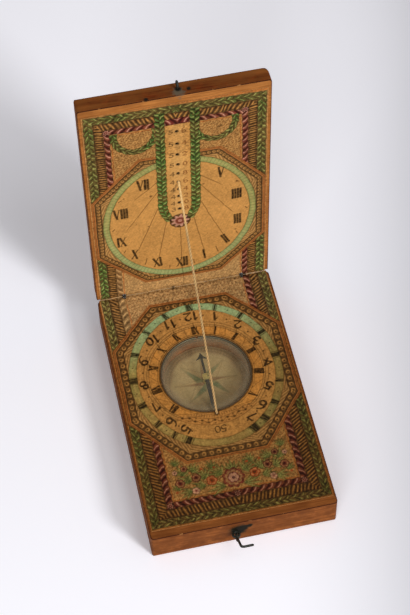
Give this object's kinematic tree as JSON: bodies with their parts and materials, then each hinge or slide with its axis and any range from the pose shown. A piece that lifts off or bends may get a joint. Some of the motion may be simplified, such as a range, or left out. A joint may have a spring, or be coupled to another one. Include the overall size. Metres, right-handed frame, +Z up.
{
  "type": "diptych sundial",
  "caption": "Pocket sundial of two hinged wooden leaves with printed paper dials, a string gnomon between them, a glazed compass in the base and a wire hook to shut it.",
  "frame": {"origin": "centre of the base leaf's underside", "axes": "+Y towards the hinge, +Z up, +X to the right seen from the free end"},
  "size_m": [0.06, 0.111, 0.1087],
  "materials": {
    "base_wood": "satin",
    "lid_wood": "satin",
    "base_print": "matt",
    "lid_print": "matt",
    "card_print": "matt",
    "brass": "aged",
    "needle_steel": "blued",
    "glass": "dusty",
    "ring_wire": "tarnished",
    "string": "twisted thread",
    "dark_wire": "dark patina"
  },
  "bodies": {
    "base": {"base_leaf": "base_wood", "base_paper": "base_print", "compass_card": "card_print", "compass_pivot": "brass", "compass_glass": "glass", "glass_ring": "ring_wire", "string_foot": "string", "gnomon_string": "string", "hook_eye": "dark_wire", "hinge_eye_base_left": "dark_wire", "hinge_eye_base_right": "dark_wire"},
    "needle": {"compass_needle": "needle_steel", "needle_cap": "brass"},
    "hook": {"hook": "dark_wire"},
    "lid": {"lid_leaf": "lid_wood", "lid_paper": "lid_print", "string_knot": "string", "catch_eye": "dark_wire", "hinge_eye_lid_left": "dark_wire", "hinge_eye_lid_right": "dark_wire"}
  },
  "joints": [
    {"name": "lid_hinge", "type": "hinge", "parent": "base", "child": "lid", "pos_m": [0, 0.047, 0.0115], "axis": [1, 0, 0], "range_deg": [0, 90], "deforming": ["gnomon_string"]},
    {"name": "needle_spin", "type": "hinge", "parent": "base", "child": "needle", "pos_m": [0, 0.01015, 0.0088], "axis": [0, 0, 1], "continuous": true},
    {"name": "hook_swing", "type": "hinge", "parent": "base", "child": "hook", "pos_m": [-0.0032, -0.04942, 0.0063], "axis": [1, 0, 0], "range_deg": [-61, 81]}
  ]
}
